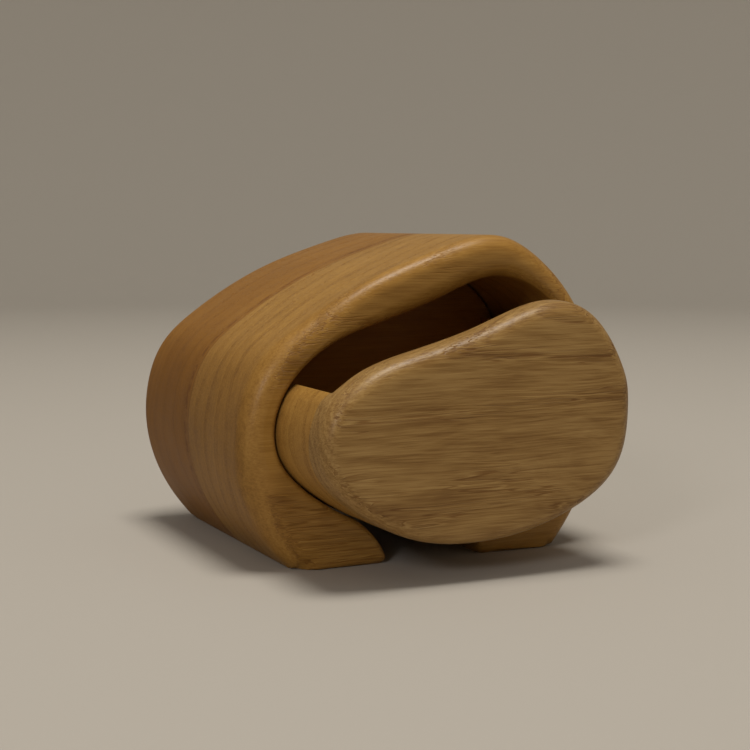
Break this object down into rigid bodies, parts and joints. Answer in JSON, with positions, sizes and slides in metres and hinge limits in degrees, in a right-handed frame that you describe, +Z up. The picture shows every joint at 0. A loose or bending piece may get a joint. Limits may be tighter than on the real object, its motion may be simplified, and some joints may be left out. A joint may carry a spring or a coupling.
{
  "type": "sculpted wooden box with one pull-out drawer",
  "caption": "Free-form laminated wooden box on two feet: an open ring-shaped case with a wave-topped drawer that slides out of its mouth along the box's depth.",
  "frame": {"origin": "on the ground under the middle of the whole object as it stands with its drawer 37.5 mm open", "axes": "+X to the right seen from the front, +Y from the drawer's face to the back, +Z up"},
  "size_m": [0.133, 0.1484, 0.108],
  "materials": {
    "pale_board": "oiled satin, honey coloured, open pores",
    "dark_board": "oiled satin, a shade darker and redder, open pores",
    "drawer_face": "oiled satin, level long grain with pore lines"
  },
  "bodies": {
    "case": {"case_front_ring": "pale_board", "case_rear_ring": "dark_board", "case_back_panel": "dark_board"},
    "drawer": {"drawer_front": "drawer_face", "drawer_trough_front": "pale_board", "drawer_trough_rear": "dark_board", "drawer_back": "dark_board"}
  },
  "joints": [
    {"name": "drawer_slide", "type": "slide", "parent": "case", "child": "drawer", "axis": [0, -1, 0], "range_m": [-0.0375, 0.062]}
  ]
}
